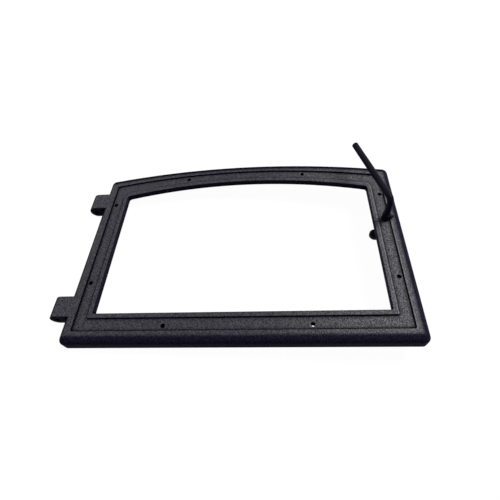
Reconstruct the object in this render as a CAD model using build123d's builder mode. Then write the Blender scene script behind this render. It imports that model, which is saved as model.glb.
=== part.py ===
"""Cast iron stove door: an arched frame with hinge lugs, a bent rod handle and its latch.

The frame stands on the hinge line: the origin is the lower mouth of the lower hinge bore, X runs
across the door from the hinge side to the handle side, Y up the hinge line, Z out of the front.
"""
import os
from math import cos, isclose, radians, sin

from build123d import *

# Casting, overall
door_width = 498.0
door_side_height = 309.0
door_rise = 24.0
door_depth = 22.0
lower_corner_radius = 8.0
upper_corner_radius = 10.5
front_rounding = 10.0

# Rim, sunk flat, bead and window
rim_width = 17.0
recess_rise = 24.0
recess_depth = 2.0
recess_corner = 2.5
stile_width = 41.4
top_rail_width = 41.0
bottom_rail_width = 43.0
window_rise = 25.0
window_corner = 1.5
window_top_corner = 5.0
bead_width = 7.5
bead_rounding = 1.0
step_rounding = 0.7

# Back of the casting
panel_thickness = 7.3
gasket_wall = 4.5
gasket_width = 9.0
gasket_depth = 7.0
back_fillet = 2.5

# Screw holes for the glass holders, with their rear bosses
screw_hole = 6.4
screw_boss = 14.0
screw_boss_height = 5.0
side_screw_inset = 23.0
side_screw_rise = 93.5
side_screw_drop = 60.0
rail_screw_pitch = 204.0
bottom_screw_inset = 24.0
top_screw_drop = 29.0

# Hinge lugs
hinge_reach = 15.5
hinge_bore = 8.0
lug_start = 38.0
lug_length = 33.0
upper_lug_drop = 34.0
lug_rounding = 1.2

# Handle rod
rod_diameter = 10.0
bore_clearance = 0.1
spindle_inset = 23.6
spindle_height = 197.3
spindle_boss = 20.0
grip_height = 64.0
grip_length = 130.0
grip_lean = 16.0
bend_radius = 9.0
grip_chamfer = 0.6

# Rear end of the rod
shank_flats = 7.4
stud_diameter = 6.0
stud_length = 9.5
stud_chamfer = 0.8
seat_clearance = 0.05

# Collar and its screw
axial_play = 0.3
collar_wall = 1.2
collar_length = 12.0
collar_chamfer = 0.5
collar_screw_diameter = 4.0
collar_screw_head_diameter = 6.6
collar_screw_head = 4.0
collar_screw_standoff = 0.8
collar_screw_chamfer = 0.4
collar_screw_key = 3.0
collar_screw_key_depth = 2.0

# Latch and its fasteners
washer_thickness = 1.6
thrust_washer_diameter = 20.0
hub_diameter = 18.0
hub_length = 13.1
tongue_width = 18.0
tongue_reach = 18.0
tongue_thickness = 6.0
tongue_chamfer = 0.8
latch_washer_diameter = 16.0
nut_flats = 10.0
nut_height = 5.0
nut_chamfer = 0.5

# Datums that follow from the sizes above
middle_x = hinge_reach + door_width / 2
bottom_y = -lug_start
back_z = -door_depth / 2
crown_height = door_side_height + door_rise
lug_pitch = door_side_height - upper_lug_drop - lug_length - lug_start
rod_radius = rod_diameter / 2
rod_seat = rod_radius + seat_clearance
collar_radius = rod_seat + collar_wall
face_z = door_depth - recess_depth
panel_back = face_z - panel_thickness
spindle_x = door_width / 2 - spindle_inset
spindle_point = Vector(middle_x + spindle_x, bottom_y + spindle_height, back_z)

# Heights along the spindle, from the back plane of the casting
washer_top = -axial_play
hub_top = washer_top - washer_thickness
tongue_top = hub_top - hub_length
tongue_bottom = tongue_top - tongue_thickness
nut_top = tongue_bottom - washer_thickness
shank_bottom = tongue_bottom + axial_play
collar_bottom = face_z + axial_play

# The door's own drawing plane: middle of the bottom edge, at the back
back = Plane(origin=(middle_x, bottom_y, back_z))
front = back.offset(door_depth)
spindle = Plane(origin=spindle_point)

side_screw_x = door_width / 2 - side_screw_inset
top_screw_y = crown_height - top_screw_drop
screw_points = [
    (side * side_screw_x, height)
    for side in (-1, 1)
    for height in (side_screw_rise, door_side_height - side_screw_drop)
] + [
    (side * rail_screw_pitch / 2, height)
    for side in (-1, 1)
    for height in (bottom_screw_inset, top_screw_y)
]


def arched_panel(inset, top_inset, bottom_inset, rise, lower_corner, upper_corner):
    """A flat panel with straight sides and a shallow arched top, set in from the door's edge."""
    half_width = door_width / 2 - inset
    crown = crown_height - top_inset
    shoulder = crown - rise
    with BuildSketch() as panel:
        with BuildLine():
            Polyline(
                (half_width, shoulder),
                (half_width, bottom_inset),
                (-half_width, bottom_inset),
                (-half_width, shoulder),
            )
            ThreePointArc((-half_width, shoulder), (0, crown), (half_width, shoulder))
        make_face()
        fillet(panel.vertices().group_by(Axis.Y)[0], lower_corner)
        fillet(panel.vertices().group_by(Axis.Y)[-1], upper_corner)
    return panel.sketch


def inside_rim():
    """The area within the rim, the same on the front and on the back."""
    return arched_panel(
        rim_width, rim_width, rim_width, recess_rise, recess_corner, recess_corner
    )


# Door frame, the casting
with BuildPart() as door_frame:
    # Body with its big front rounding
    with BuildSketch(back):
        add(arched_panel(0, 0, 0, door_rise, lower_corner_radius, upper_corner_radius))
    extrude(amount=door_depth)
    fillet(door_frame.faces().sort_by(Axis.Z)[-1].edges(), front_rounding)

    # Hinge lugs: half-round barrels, level with the rim's flat top
    for lug_y in (0, lug_pitch):
        with BuildSketch(Plane.XZ.offset(-lug_y)):
            Circle(door_depth / 2)
            with Locations(((hinge_reach + front_rounding) / 2, 0)):
                Rectangle(hinge_reach + front_rounding, door_depth)
        extrude(amount=-lug_length)
    lug_ends = door_frame.edges().filter_by(
        lambda edge: edge.center().X < hinge_reach / 2 and edge.geom_type == GeomType.CIRCLE
    )
    fillet(lug_ends, lug_rounding)

    # Sunk flat between the rim and the bead
    with BuildSketch(front):
        add(inside_rim())
        add(
            arched_panel(
                stile_width - bead_width,
                top_rail_width - bead_width,
                bottom_rail_width - bead_width,
                window_rise,
                recess_corner,
                window_top_corner + bead_width,
            ),
            mode=Mode.SUBTRACT,
        )
    extrude(amount=-recess_depth, mode=Mode.SUBTRACT)

    # Hollow back, up to the rear of the panel
    with BuildSketch(back):
        add(inside_rim())
    extrude(amount=panel_back, mode=Mode.SUBTRACT)
    hollow_roof = door_frame.faces().filter_by(Axis.Z).filter_by(
        lambda face: isclose(face.center().Z, back_z + panel_back)
    )
    fillet(hollow_roof.edges(), back_fillet)

    # Window
    with BuildSketch(back):
        add(
            arched_panel(
                stile_width,
                top_rail_width,
                bottom_rail_width,
                window_rise,
                window_corner,
                window_top_corner,
            )
        )
    extrude(amount=door_depth, mode=Mode.SUBTRACT)

    # Cast edges: the bead and the rim's inner edge are softened, the flat meets them in a fillet
    front_faces = door_frame.faces().filter_by(Axis.Z).group_by(Axis.Z)[-1].sort_by(SortBy.AREA)
    fillet(front_faces[0].edges(), bead_rounding)
    rim_face = door_frame.faces().filter_by(Axis.Z).group_by(Axis.Z)[-1].sort_by(SortBy.AREA)[-1]
    fillet(rim_face.inner_wires().edges(), step_rounding)
    sunk_flat = door_frame.faces().filter_by(Axis.Z).filter_by(
        lambda face: isclose(face.center().Z, back_z + face_z)
    )
    fillet(sunk_flat.edges(), step_rounding)

    # Bosses behind the panel
    with BuildSketch(back.offset(panel_back)):
        with Locations(*screw_points):
            Circle(screw_boss / 2)
    extrude(amount=-screw_boss_height)
    with BuildSketch(back):
        with Locations((spindle_x, spindle_height)):
            Circle(spindle_boss / 2)
    extrude(amount=panel_back)

    # Groove for the rope gasket round the back of the rim
    gasket_inset = gasket_wall + gasket_width
    with BuildSketch(back):
        add(
            arched_panel(
                gasket_wall,
                gasket_wall,
                gasket_wall,
                door_rise,
                lower_corner_radius - gasket_wall,
                upper_corner_radius - gasket_wall,
            )
        )
        add(
            arched_panel(
                gasket_inset, gasket_inset, gasket_inset, door_rise, recess_corner, recess_corner
            ),
            mode=Mode.SUBTRACT,
        )
    extrude(amount=gasket_depth, mode=Mode.SUBTRACT)

    # Bores: hinge pins, spindle and screw holes
    with BuildSketch(Plane.XZ):
        Circle(hinge_bore / 2)
    extrude(amount=-(lug_pitch + lug_length), mode=Mode.SUBTRACT)
    with BuildSketch(back):
        with Locations((spindle_x, spindle_height)):
            Circle(rod_radius + bore_clearance)
        with Locations(*screw_points):
            Circle(screw_hole / 2)
    extrude(amount=door_depth, mode=Mode.SUBTRACT)

# Handle rod: round bar, bent once, with a squared shank and a threaded stud behind
grip_direction = Vector(-sin(radians(grip_lean)), cos(radians(grip_lean)), 0)
shank_plane = spindle.offset(hub_top)
elbow = spindle_point + Vector(0, 0, grip_height)
with BuildPart() as handle_rod:
    with BuildLine():
        FilletPolyline(
            shank_plane.origin, elbow, elbow + grip_direction * grip_length, radius=bend_radius
        )
    with BuildSketch(shank_plane):
        Circle(rod_radius)
    sweep()
    grip_end = handle_rod.faces().sort_by(Axis.Y)[-1]
    chamfer(grip_end.edges(), grip_chamfer)
    with BuildSketch(shank_plane):
        Circle(rod_radius)
        Rectangle(shank_flats, shank_flats, rotation=grip_lean, mode=Mode.INTERSECT)
    extrude(amount=shank_bottom - hub_top)
    with BuildSketch(spindle.offset(shank_bottom)):
        Circle(stud_diameter / 2)
    extrude(amount=-stud_length)
    chamfer(handle_rod.faces().sort_by(Axis.Z)[0].edges(), stud_chamfer)

# Collar at the foot of the rod
screw_place = (spindle_point.Y, back_z + collar_bottom + collar_length / 2)
with BuildPart() as handle_collar:
    with BuildSketch(spindle.offset(collar_bottom)):
        Circle(collar_radius)
        Circle(rod_seat, mode=Mode.SUBTRACT)
    extrude(amount=collar_length)
    chamfer(handle_collar.faces().sort_by(Axis.Z)[-1].outer_wire().edges(), collar_chamfer)
    with BuildSketch(Plane.YZ.offset(spindle_point.X)):
        with Locations(screw_place):
            Circle(collar_screw_diameter / 2 + seat_clearance)
    extrude(amount=2 * collar_radius, mode=Mode.SUBTRACT)

# Socket screw that clamps the collar, its head towards the door's edge
screw_tip = Plane.YZ.offset(spindle_point.X + rod_seat)
head_plane = Plane.YZ.offset(spindle_point.X + collar_radius + collar_screw_standoff)
with BuildPart() as collar_screw:
    with BuildSketch(screw_tip):
        with Locations(screw_place):
            Circle(collar_screw_diameter / 2)
    extrude(amount=head_plane.origin.X - screw_tip.origin.X)
    with BuildSketch(head_plane):
        with Locations(screw_place):
            Circle(collar_screw_head_diameter / 2)
    extrude(amount=collar_screw_head)
    head_end = collar_screw.faces().sort_by(Axis.X)[-1]
    chamfer(head_end.edges(), collar_screw_chamfer)
    with BuildSketch(head_plane.offset(collar_screw_head)):
        with Locations(screw_place):
            RegularPolygon(collar_screw_key / 2, 6, major_radius=False)
    extrude(amount=-collar_screw_key_depth, mode=Mode.SUBTRACT)

# Washer between the rear boss and the latch
with BuildPart() as thrust_washer:
    with BuildSketch(spindle.offset(hub_top)):
        Circle(thrust_washer_diameter / 2)
        Circle(rod_seat, mode=Mode.SUBTRACT)
    extrude(amount=washer_thickness)

# Latch tongue: a hub with a round-ended tongue square to the grip
with BuildPart() as latch_tongue:
    with BuildSketch(spindle.offset(tongue_bottom)):
        Circle(hub_diameter / 2)
        with BuildSketch(mode=Mode.PRIVATE) as tongue_sketch:
            straight = tongue_reach - tongue_width / 2
            with Locations((-straight / 2, 0)):
                Rectangle(straight, tongue_width)
            with Locations((-straight, 0)):
                Circle(tongue_width / 2)
        add(tongue_sketch.sketch, rotation=grip_lean)
    extrude(amount=tongue_thickness)
    chamfer(latch_tongue.faces().sort_by(Axis.Z)[-1].edges(), tongue_chamfer)
    with BuildSketch(spindle.offset(tongue_top)):
        Circle(hub_diameter / 2)
    extrude(amount=hub_length)
    with BuildSketch(spindle.offset(tongue_bottom)):
        Rectangle(
            shank_flats + 2 * seat_clearance, shank_flats + 2 * seat_clearance, rotation=grip_lean
        )
    extrude(amount=hub_length + tongue_thickness, mode=Mode.SUBTRACT)

# Washer and nut that hold the latch on the stud
with BuildPart() as latch_washer:
    with BuildSketch(spindle.offset(nut_top)):
        Circle(latch_washer_diameter / 2)
        Circle(stud_diameter / 2 + seat_clearance, mode=Mode.SUBTRACT)
    extrude(amount=washer_thickness)

nut_plane = spindle.offset(nut_top - nut_height)
with BuildPart() as latch_nut:
    with BuildSketch(nut_plane):
        Circle(nut_flats / 2 / cos(radians(30)))
    extrude(amount=nut_height)
    chamfer(latch_nut.edges().filter_by(GeomType.CIRCLE), nut_chamfer)
    with BuildSketch(nut_plane):
        RegularPolygon(nut_flats / 2, 6, major_radius=False)
        Circle(stud_diameter / 2 + seat_clearance, mode=Mode.SUBTRACT)
    extrude(amount=nut_height, mode=Mode.INTERSECT)

door_frame.part.label = "door_frame"
handle_rod.part.label = "handle_rod"
handle_collar.part.label = "handle_collar"
collar_screw.part.label = "collar_screw"
thrust_washer.part.label = "thrust_washer"
latch_tongue.part.label = "latch_tongue"
latch_washer.part.label = "latch_washer"
latch_nut.part.label = "latch_nut"

os.makedirs("parts", exist_ok=True)
export_step(door_frame.part, "parts/door_frame.step")
export_step(handle_rod.part, "parts/handle_rod.step")
export_step(handle_collar.part, "parts/handle_collar.step")
export_step(collar_screw.part, "parts/collar_screw.step")
export_step(thrust_washer.part, "parts/thrust_washer.step")
export_step(latch_tongue.part, "parts/latch_tongue.step")
export_step(latch_washer.part, "parts/latch_washer.step")
export_step(latch_nut.part, "parts/latch_nut.step")
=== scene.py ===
import bpy
from mathutils import Matrix, Vector

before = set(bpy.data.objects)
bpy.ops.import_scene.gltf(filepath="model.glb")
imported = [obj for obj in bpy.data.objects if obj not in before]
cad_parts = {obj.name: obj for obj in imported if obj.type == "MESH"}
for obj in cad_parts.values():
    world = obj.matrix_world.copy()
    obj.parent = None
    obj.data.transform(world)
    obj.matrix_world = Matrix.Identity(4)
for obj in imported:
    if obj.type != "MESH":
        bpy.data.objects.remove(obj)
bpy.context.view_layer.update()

# Camera, as fitted to the photograph: place and view in the row frame, in metres
CAMERA_PLACE = (0.3318, -0.1905, 0.44735)
CAMERA_RIGHT = (0.9957, 0.0253, -0.0890)
CAMERA_VIEW = (-0.0878, 0.5605, -0.8235)
CAMERA_LENS_MM = 24.953
CAMERA_SENSOR_MM = 36.0
CAMERA_SHIFT = (-0.008, -0.0008)
CAMERA_CLIP = (0.01, 50.0)

# The door lies on its hinge lugs and on the latch's stud: the floor is tilted under it
FLOOR_HEIGHT = -0.011
FLOOR_SLOPE = -0.0616
FLOOR_SIZE = 12.0
FLOOR_BOUNCE = (0.25, 0.25, 0.26, 1.0)
FLOOR_SHADE = (0.06, 0.06, 0.06, 1.0)
FLOOR_GLOW = 0.97

# Lamps and sky: colour, power in watts, side of the square lamps in metres
LAMP_TARGET = (0.26, 0.13, 0.0)
KEY_LAMP = {
    "place": (2.30, 1.10, 3.00),
    "side": 1.5,
    "power": 134.0,
    "colour": (1.0, 0.99, 0.97),
}
FILL_LAMP = {
    "place": (-1.60, 1.60, 3.00),
    "side": 1.4,
    "power": 24.0,
    "colour": (0.94, 0.96, 1.0),
}
SKY_COLOUR = (0.93, 0.95, 1.0, 1.0)
SKY_STRENGTH = 0.12
WHITE = (1.0, 1.0, 1.0, 1.0)
WHITE_STRENGTH = 1.0

# The casting's outline seen from the front, and the X of its handle stile's bead
OUTLINE_MIDDLE = 0.2645
OUTLINE_RIGHT = 0.5138
OUTLINE_BOTTOM = -0.0380
ARCH_CENTRE = -1.0087
ARCH_RADIUS = 1.3015
HANDLE_SIDE = (0.26, 0.48)
BEAD_TOP = (0.4815, 0.4875)

# Widths of the casting's masks, in metres
ROUND_EDGE = 0.0022
ROUND_BEAD = 0.0040
WORN_AND_HIGHLIT_EDGE = 0.0013
CREVICE = 0.0055
PAST_ROUNDING = (0.0070, 0.0135)
# Band of painted shade along the arch's outer edge
ARCH_ROUNDING = (0.0045, 0.0110)
WORN_AND_HIGHLIT_HEIGHT = (0.003, 0.008)
# Band of painted shadow along the back edge, where the door meets the floor
FOOT_HEIGHT = (-0.0109, -0.0097)

# How far a surface looks out of the front (1), to the side (0) or out of the back (-1)
FLAT_FRONT = (0.84, 0.995)
FLAT_BACK = (-0.40, -0.95)
LIT_SLOPE = (0.80, 0.93)

# How far a surface looks away from the light, up the door or out of its hinge side, for
# the painted shade
AWAY_SLOPE = (0.12, 0.65)

# Mixture of the casting's grain, and the parts of it that make its tones and its painted
# glints
SAND_SHARE = 0.5
SPECKLE_TONES = (0.585, 0.89)
PAINTED_GLINT_RANGE = (0.50, 0.66)
PATCH_AMOUNT = 0.22

# Colours of the casting's paint, and of its painted shade and painted highlights
GRAIN_LOW = (0.001, 0.001, 0.004, 1.0)
GRAIN_HIGH = (0.052, 0.051, 0.067, 1.0)
PATCH = (0.032, 0.032, 0.041, 1.0)
PAINTED_GLINT = (0.160, 0.160, 0.176, 1.0)
SHADED_WALL_LOW = (0.0045, 0.0040, 0.0115, 1.0)
SHADED_WALL_HIGH = (0.0165, 0.0150, 0.0310, 1.0)
WEAR_AND_HIGHLIGHT = (0.190, 0.190, 0.205, 1.0)
PAINTED_SHADE = (0.001, 0.001, 0.002, 1.0)

# Ranges that most looks share: of a cloudy noise, of a bevelled edge, of a whole mask
CLOUD = (0.35, 0.7)
EDGE = (0.03, 0.30)
WHOLE = (0.0, 1.0)

# A mix node has several sockets of each name: these are the numbers of its colour ones
MIX_FACTOR, MIX_FIRST, MIX_SECOND, MIX_RESULT = 0, 6, 7, 2


class Graph:
    """A node tree; each helper adds a node and returns the socket that the next takes."""

    def __init__(self, tree, output):
        self.tree = tree
        self.tree.nodes.clear()
        self.output = self.tree.nodes.new(output)

    def node(self, kind, inputs=(), **settings):
        """A node with its settings, and with its inputs by name or number."""
        made = self.tree.nodes.new(kind)
        for key, value in settings.items():
            setattr(made, key, value)
        for key, value in dict(inputs).items():
            if isinstance(value, bpy.types.NodeSocket):
                self.tree.links.new(value, made.inputs[key])
            else:
                made.inputs[key].default_value = value
        return made

    def math(self, operation, first, second=0.0, third=0.0, clamp=False):
        inputs = {0: first, 1: second, 2: third}
        made = self.node("ShaderNodeMath", inputs, operation=operation, use_clamp=clamp)
        return made.outputs[0]

    def product(self, first, *others):
        for other in others:
            first = self.math("MULTIPLY", first, other)
        return first

    def highest(self, first, *others):
        for other in others:
            first = self.math("MAXIMUM", first, other)
        return first

    def lit_and_shown(self, light, shown):
        """One shader for the light on the door, one for what camera and polish look at."""
        path = self.node("ShaderNodeLightPath").outputs
        seen = self.highest(
            path["Is Camera Ray"], path["Is Glossy Ray"], path["Is Transmission Ray"]
        )
        inputs = {0: seen, 1: light.outputs[0], 2: shown.outputs[0]}
        return self.node("ShaderNodeMixShader", inputs)

    def show(self, shader):
        self.tree.links.new(shader.outputs[0], self.output.inputs["Surface"])


class Look(Graph):
    """A material; its masks run from 0 to 1 where nothing else is said."""

    def __init__(self, name):
        self.material = bpy.data.materials.new(name)
        self.material.use_nodes = True
        super().__init__(self.material.node_tree, "ShaderNodeOutputMaterial")

    def place(self):
        return self.node("ShaderNodeTexCoord").outputs["Object"]

    def noise(self, scale, detail=3.0, roughness=0.5, distortion=0.0):
        inputs = {
            "Vector": self.place(),
            "Scale": scale,
            "Detail": detail,
            "Roughness": roughness,
            "Distortion": distortion,
        }
        return self.node("ShaderNodeTexNoise", inputs).outputs["Fac"]

    def pebbles(self, scale, smoothness=0.6):
        inputs = {"Vector": self.place(), "Scale": scale, "Smoothness": smoothness}
        made = self.node("ShaderNodeTexVoronoi", inputs, feature="SMOOTH_F1")
        return made.outputs["Distance"]

    def axes(self, vector):
        return self.node("ShaderNodeSeparateXYZ", {"Vector": vector}).outputs

    def span(self, value, source, target=WHOLE):
        """Take the value smoothly from one range to the other, held at their ends."""
        inputs = {
            "Value": value,
            "From Min": source[0],
            "From Max": source[1],
            "To Min": target[0],
            "To Max": target[1],
        }
        made = self.node("ShaderNodeMapRange", inputs, interpolation_type="SMOOTHSTEP")
        return made.outputs[0]

    def mix(self, factor, first, second):
        inputs = {MIX_FACTOR: factor, MIX_FIRST: first, MIX_SECOND: second}
        return self.node("ShaderNodeMix", inputs, data_type="RGBA").outputs[MIX_RESULT]

    def bevel(self, radius, samples):
        made = self.node("ShaderNodeBevel", {"Radius": radius}, samples=samples)
        return made.outputs[0]

    def facing(self, radius):
        """The way the surface looks, with its edges rounded: Z is 1 out of the front."""
        return self.axes(self.bevel(radius, samples=8))

    def edge(self, radius):
        """0 on flat faces, rising on edges sharper than the radius."""
        plain = self.node("ShaderNodeNewGeometry").outputs["Normal"]
        inputs = {0: self.bevel(radius, samples=6), 1: plain}
        dot = self.node("ShaderNodeVectorMath", inputs, operation="DOT_PRODUCT")
        return self.math("SUBTRACT", 1.0, dot.outputs["Value"], clamp=True)

    def two_tone(self, pattern, low, high):
        """A colour that follows the pattern from low to high."""
        return self.mix(self.span(pattern, CLOUD), low, high)

    def wear(self, base, radius, amount, colour):
        """The base, with another colour on edges sharper than the radius."""
        return self.mix(self.span(self.edge(radius), EDGE, (0.0, amount)), base, colour)

    def bump(self, height, distance, strength, normal=None):
        inputs = {"Height": height, "Distance": distance, "Strength": strength}
        if normal is not None:
            inputs["Normal"] = normal
        return self.node("ShaderNodeBump", inputs).outputs[0]

    def finish(self, colour, rough, normal, shine):
        inputs = {
            "Base Color": colour,
            "Roughness": rough,
            "Normal": normal,
            "Specular IOR Level": shine,
        }
        self.show(self.node("ShaderNodeBsdfPrincipled", inputs))
        return self.material


class CastingLook(Look):
    """The casting's material, with masks by place and by the way the surface looks."""

    def __init__(self, name):
        super().__init__(name)
        self.spot = self.axes(self.place())
        self.normal = self.facing(ROUND_EDGE)
        self.handle_side = self.span(self.spot["X"], HANDLE_SIDE)
        self.under_arch = self.inset_from_arch()
        self.back = self.span(self.normal["Z"], FLAT_BACK)

    def inset_from_arch(self):
        """Distance in from the outline's arch, in metres."""
        over = self.math("SUBTRACT", self.spot["X"], OUTLINE_MIDDLE)
        rise = self.math("SUBTRACT", self.spot["Y"], ARCH_CENTRE)
        square = self.math("ADD", self.product(over, over), self.product(rise, rise))
        return self.math("SUBTRACT", ARCH_RADIUS, self.math("SQRT", square))

    def inset(self):
        """Distance in from the outline's bottom, handle side and arch, in metres."""
        bottom = self.math("SUBTRACT", self.spot["Y"], OUTLINE_BOTTOM)
        side = self.math("SUBTRACT", OUTLINE_RIGHT, self.spot["X"])
        return self.math("MINIMUM", self.under_arch, self.math("MINIMUM", bottom, side))

    def flat_faces(self):
        """1 on the flat faces of front and back, 0 on the walls and the outer rounding,
        which take painted shade.
        """
        front = self.span(self.normal["Z"], FLAT_FRONT)
        inward = self.span(self.inset(), PAST_ROUNDING)
        return self.highest(self.product(front, inward), self.back)

    def worn_and_highlit_edges(self):
        """1 on the front's sharp edges, less of it away from the handle: partly wear,
        partly painted highlight.
        """
        sharp = self.span(self.edge(WORN_AND_HIGHLIT_EDGE), (0.02, 0.24))
        front = self.span(self.spot["Z"], WORN_AND_HIGHLIT_HEIGHT)
        # Stronger on the handle side: partly from use, partly painted highlight where the
        # light falls
        used_and_lit = self.span(self.handle_side, WHOLE, (0.30, 1.0))
        return self.product(sharp, front, used_and_lit)

    def painted_highlight_slopes(self, sparkle):
        """A painted highlight: 1 on the handle stile's slopes that look to its bead,
        broken by the sparkle.
        """
        bead_side = self.span(self.spot["X"], BEAD_TOP, (1.0, -1.0))
        slope = self.product(self.facing(ROUND_BEAD)["X"], bead_side)
        sloping = self.span(slope, (0.01, 0.20))
        gentle = self.span(self.normal["Z"], LIT_SLOPE)
        broken = self.span(sparkle, (0.36, 0.60), (0.30, 1.0))
        return self.product(sloping, self.handle_side, gentle, broken)

    def out_of_corners(self):
        """Painted shade in corners: 1 in the open, 0 in narrow corners, and sooner so on
        the handle's side.
        """
        inputs = {"Distance": CREVICE}
        made = self.node("ShaderNodeAmbientOcclusion", inputs, samples=8, only_local=True)
        clear = made.outputs["AO"]
        narrow = self.product(self.span(clear, (0.965, 0.80)), self.handle_side)
        wide = self.math("SUBTRACT", 1.0, narrow)
        return self.product(self.span(clear, (0.74, 0.99)), wide)

    def in_light(self):
        """Painted shade: 1 in the open, lower in corners, at the foot, along the arch's
        outer edge and on sides that look away from the light.
        """
        # Painted shadow line along the back edge, where the door meets the floor
        foot = self.highest(self.span(self.spot["Z"], FOOT_HEIGHT), self.back)
        to_hinge = self.span(self.handle_side, (0.0, 0.5), (-1.0, 0.0))
        # Painted shade on sides turned away from the light
        away = self.highest(self.normal["Y"], self.product(self.normal["X"], to_hinge))
        turned = self.span(away, AWAY_SLOPE, (1.0, 0.40))
        # Painted shade along the arch's outer edge
        arch = self.span(self.under_arch, ARCH_ROUNDING, (0.28, 1.0))
        return self.product(self.out_of_corners(), foot, turned, arch)


def cast_iron():
    """Charcoal paint over sand-cast iron: pebbly grain, faint patches, painted shade on
    walls, corners and the outer rounding, and painted highlights on edges and grain tips
    on the handle side.
    """
    look = CastingLook("cast_iron_charcoal")
    grain = look.noise(scale=390.0, detail=4.0, roughness=0.66)
    sand = look.pebbles(scale=620.0)
    fine = look.noise(scale=1700.0, detail=2.0, roughness=0.5)
    patches = look.noise(scale=14.0, detail=4.0, roughness=0.6, distortion=0.4)
    sparkle = look.noise(scale=620.0, detail=3.0, roughness=0.62)
    speckle = look.math("MULTIPLY_ADD", sand, SAND_SHARE, grain)
    tone = look.span(speckle, SPECKLE_TONES)
    flat = look.flat_faces()
    light = look.in_light()

    base = look.mix(tone, GRAIN_LOW, GRAIN_HIGH)
    base = look.mix(look.span(patches, CLOUD, (0.0, PATCH_AMOUNT)), base, PATCH)
    # Painted glints on the grain's tips, on the handle side where the light falls
    painted_glints = look.product(look.span(sparkle, PAINTED_GLINT_RANGE), look.handle_side)
    base = look.mix(painted_glints, base, PAINTED_GLINT)
    # Painted shade: the walls and the outer rounding of the front take a darker colour
    base = look.mix(flat, look.mix(tone, SHADED_WALL_LOW, SHADED_WALL_HIGH), base)
    # Lighter edges and slopes: partly wear, partly painted highlight, strongest on the
    # handle side
    wear_and_highlight = look.highest(look.worn_and_highlit_edges(), look.painted_highlight_slopes(sparkle))
    base = look.mix(wear_and_highlight, base, WEAR_AND_HIGHLIGHT)
    # Painted shade in corners, at the back edge, along the arch and on sides turned from
    # the light
    base = look.mix(light, PAINTED_SHADE, base)

    rough = look.highest(
        look.span(speckle, (0.45, 1.0), (0.50, 0.36)),
        look.span(flat, WHOLE, (0.75, 0.0)),
    )
    # The shine is lowered too where shade is painted
    shine = look.product(
        light,
        look.span(flat, WHOLE, (0.02, 0.17)),
        look.span(look.handle_side, WHOLE, (1.0, 1.3)),
    )
    normal = look.bump(patches, distance=0.0012, strength=0.5)
    normal = look.bump(grain, distance=0.00070, strength=0.9, normal=normal)
    normal = look.bump(sand, distance=0.00034, strength=1.0, normal=normal)
    normal = look.bump(fine, distance=0.00008, strength=0.6, normal=normal)
    return look.finish(base, rough, normal, shine)


def black_satin():
    """Black satin over a drawn steel bar: smooth, with rubbed spots, painted shade on top
    and painted light on the sides.
    """
    look = Look("handle_black_satin")
    cloud = look.noise(scale=60.0, detail=4.0, roughness=0.6)
    fine = look.noise(scale=1300.0, detail=3.0, roughness=0.6)
    top = look.span(look.facing(radius=0.0004)["Z"], (0.25, 0.95))
    base = look.two_tone(
        cloud, low=(0.0022, 0.0020, 0.0065, 1.0), high=(0.0055, 0.0052, 0.0110, 1.0)
    )
    base = look.wear(base, radius=0.0010, amount=0.5, colour=(0.020, 0.020, 0.026, 1.0))
    # Painted light on the sides and painted shade on the top of the bar
    side = (0.0090, 0.0085, 0.0230, 1.0)
    base = look.mix(top, side, base)
    rough = look.span(cloud, (0.3, 0.75), (0.44, 0.56))
    normal = look.bump(cloud, distance=0.0004, strength=0.4)
    normal = look.bump(fine, distance=0.00004, strength=0.5, normal=normal)
    return look.finish(base, rough, normal, shine=look.span(top, WHOLE, (0.02, 0.06)))


def latch_black():
    """Matt black cast tongue with a coarse skin."""
    look = Look("latch_black_matt")
    grain = look.noise(scale=520.0, detail=4.0, roughness=0.6)
    cloud = look.noise(scale=45.0, detail=3.0, roughness=0.6)
    base = look.two_tone(
        grain, low=(0.003, 0.003, 0.006, 1.0), high=(0.010, 0.010, 0.014, 1.0)
    )
    base = look.wear(base, radius=0.0010, amount=0.55, colour=(0.030, 0.030, 0.035, 1.0))
    rough = look.span(cloud, (0.3, 0.7), (0.55, 0.68))
    normal = look.bump(grain, distance=0.00035, strength=0.8)
    return look.finish(base, rough, normal, shine=0.08)


def black_oxide():
    """Black oxide fasteners: dark, a little glossy, brighter on the corners."""
    look = Look("fastener_black_oxide")
    cloud = look.noise(scale=160.0, detail=4.0, roughness=0.6)
    fine = look.noise(scale=2200.0, detail=2.0, roughness=0.5)
    base = look.two_tone(
        cloud, low=(0.005, 0.005, 0.008, 1.0), high=(0.013, 0.013, 0.017, 1.0)
    )
    base = look.wear(base, radius=0.0006, amount=0.6, colour=(0.045, 0.045, 0.050, 1.0))
    rough = look.span(cloud, (0.3, 0.7), (0.30, 0.45))
    normal = look.bump(fine, distance=0.00003, strength=0.5)
    return look.finish(base, rough, normal, shine=0.16)


def studio_floor():
    """White with a soft shadow to the camera, pale grey for its light on the door."""
    look = Look("studio_floor")
    bounce = look.node("ShaderNodeBsdfDiffuse", {"Color": FLOOR_BOUNCE})
    shade = look.node("ShaderNodeBsdfDiffuse", {"Color": FLOOR_SHADE})
    glow = look.node("ShaderNodeEmission", {"Color": WHITE, "Strength": FLOOR_GLOW})
    shown = look.node("ShaderNodeAddShader", {0: shade.outputs[0], 1: glow.outputs[0]})
    look.show(look.lit_and_shown(bounce, shown))
    return look.material


def set_world():
    """White where camera and polish look, plain soft light on the door."""
    world = bpy.data.worlds.new("studio_world")
    world.use_nodes = True
    bpy.context.scene.world = world
    graph = Graph(world.node_tree, "ShaderNodeOutputWorld")
    inputs = {"Color": SKY_COLOUR, "Strength": SKY_STRENGTH}
    light = graph.node("ShaderNodeBackground", inputs)
    inputs = {"Color": WHITE, "Strength": WHITE_STRENGTH}
    shown = graph.node("ShaderNodeBackground", inputs)
    graph.show(graph.lit_and_shown(light, shown))


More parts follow.
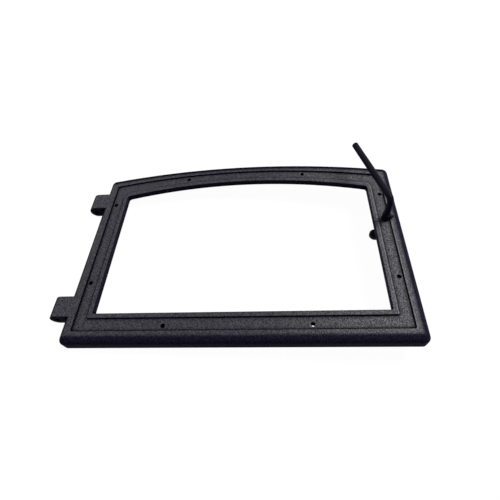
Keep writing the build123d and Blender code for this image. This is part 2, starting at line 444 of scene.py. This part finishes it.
def add_floor():
    """A square floor, tilted along X, that ends far out of the picture."""
    half = FLOOR_SIZE / 2
    square = ((-half, -half), (half, -half), (half, half), (-half, half))
    corners = [(x, y, FLOOR_HEIGHT + FLOOR_SLOPE * x) for x, y in square]
    mesh = bpy.data.meshes.new("studio_floor")
    mesh.from_pydata(corners, [], [(0, 1, 2, 3)])
    mesh.materials.append(studio_floor())
    floor = bpy.data.objects.new("studio_floor", mesh)
    bpy.context.scene.collection.objects.link(floor)


def add_lamp(name, place, side, power, colour):
    """A square softbox that looks at the middle of the door."""
    data = bpy.data.lights.new(name, "AREA")
    data.shape = "SQUARE"
    data.size = side
    data.energy = power
    data.color = colour
    lamp = bpy.data.objects.new(name, data)
    lamp.location = place
    aim = Vector(LAMP_TARGET) - Vector(place)
    lamp.rotation_euler = aim.to_track_quat("-Z", "Y").to_euler()
    bpy.context.scene.collection.objects.link(lamp)


def add_camera():
    right = Vector(CAMERA_RIGHT).normalized()
    back = -Vector(CAMERA_VIEW)
    back = (back - right * back.dot(right)).normalized()
    up = back.cross(right)
    axes = Matrix((right, up, back)).transposed().to_4x4()
    data = bpy.data.cameras.new("camera")
    data.lens = CAMERA_LENS_MM
    data.sensor_width = CAMERA_SENSOR_MM
    data.shift_x, data.shift_y = CAMERA_SHIFT
    data.clip_start, data.clip_end = CAMERA_CLIP
    camera = bpy.data.objects.new("camera", data)
    camera.matrix_world = Matrix.Translation(CAMERA_PLACE) @ axes
    bpy.context.scene.collection.objects.link(camera)
    bpy.context.scene.camera = camera


def dress(material, *nodes):
    """Give the material to the nodes' meshes, in place of what they came with."""
    for node in nodes:
        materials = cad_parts[node].data.materials
        materials.clear()
        materials.append(material)


dress(cast_iron(), "door_frame")
dress(black_satin(), "handle_rod", "handle_collar")
dress(latch_black(), "latch_tongue")
dress(black_oxide(), "collar_screw", "thrust_washer", "latch_washer", "latch_nut")

set_world()
add_floor()
add_camera()
add_lamp("key_softbox", **KEY_LAMP)
add_lamp("fill_softbox", **FILL_LAMP)

bpy.context.scene.view_settings.view_transform = "Standard"
